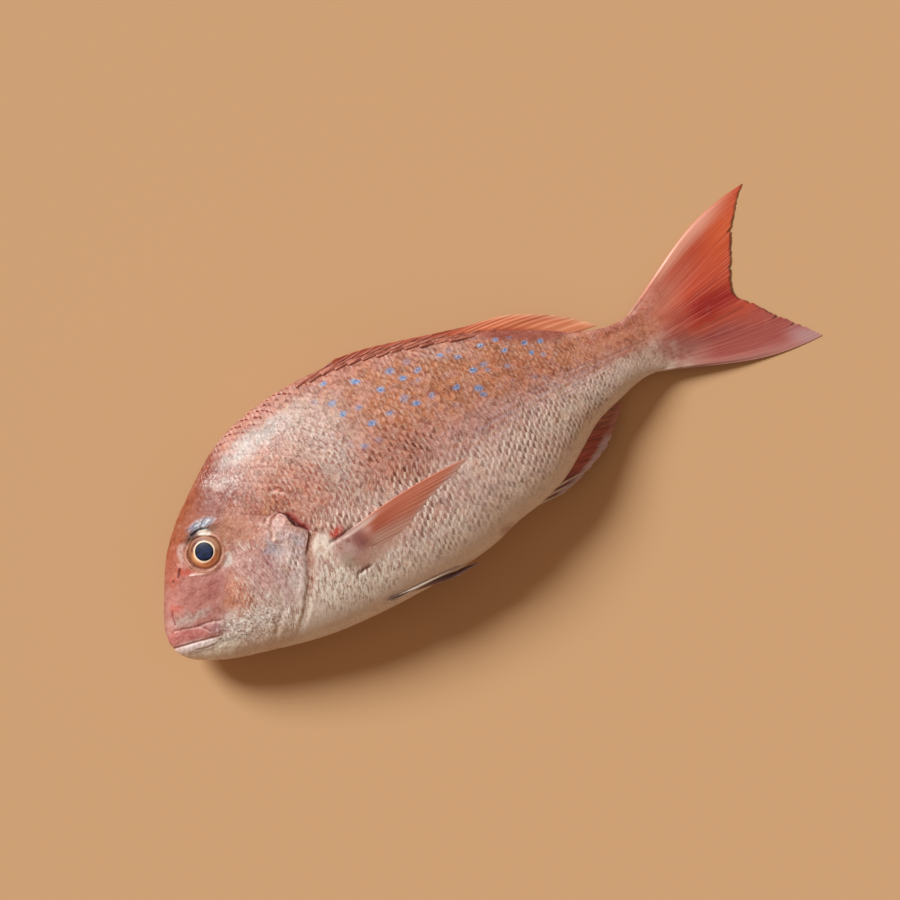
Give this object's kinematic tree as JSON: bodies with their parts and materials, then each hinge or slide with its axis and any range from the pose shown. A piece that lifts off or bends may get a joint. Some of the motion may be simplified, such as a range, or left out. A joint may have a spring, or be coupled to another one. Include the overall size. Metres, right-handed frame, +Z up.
{
  "type": "whole raw fish",
  "caption": "Whole raw sea bream with pink-red skin, round eye, folded fins and forked tail, lying on its side.",
  "frame": {"origin": "middle of the outline, on the surface that the fish lies on", "axes": "+X from the snout to the tail, +Y from the belly to the back, +Z up, which is the fish's left side"},
  "size_m": [0.3844, 0.1326, 0.0495],
  "materials": {
    "skin": "wet scaled fish skin, pink-red on the back and tail, silvery pink on the flank, cream on the belly, with blue spots",
    "eye": "wet clear eyeball with a dark blue pupil and an orange-brown iris"
  },
  "bodies": {
    "root": {"fish": "skin", "eye_left": "eye", "eye_right": "eye"}
  },
  "joints": []
}
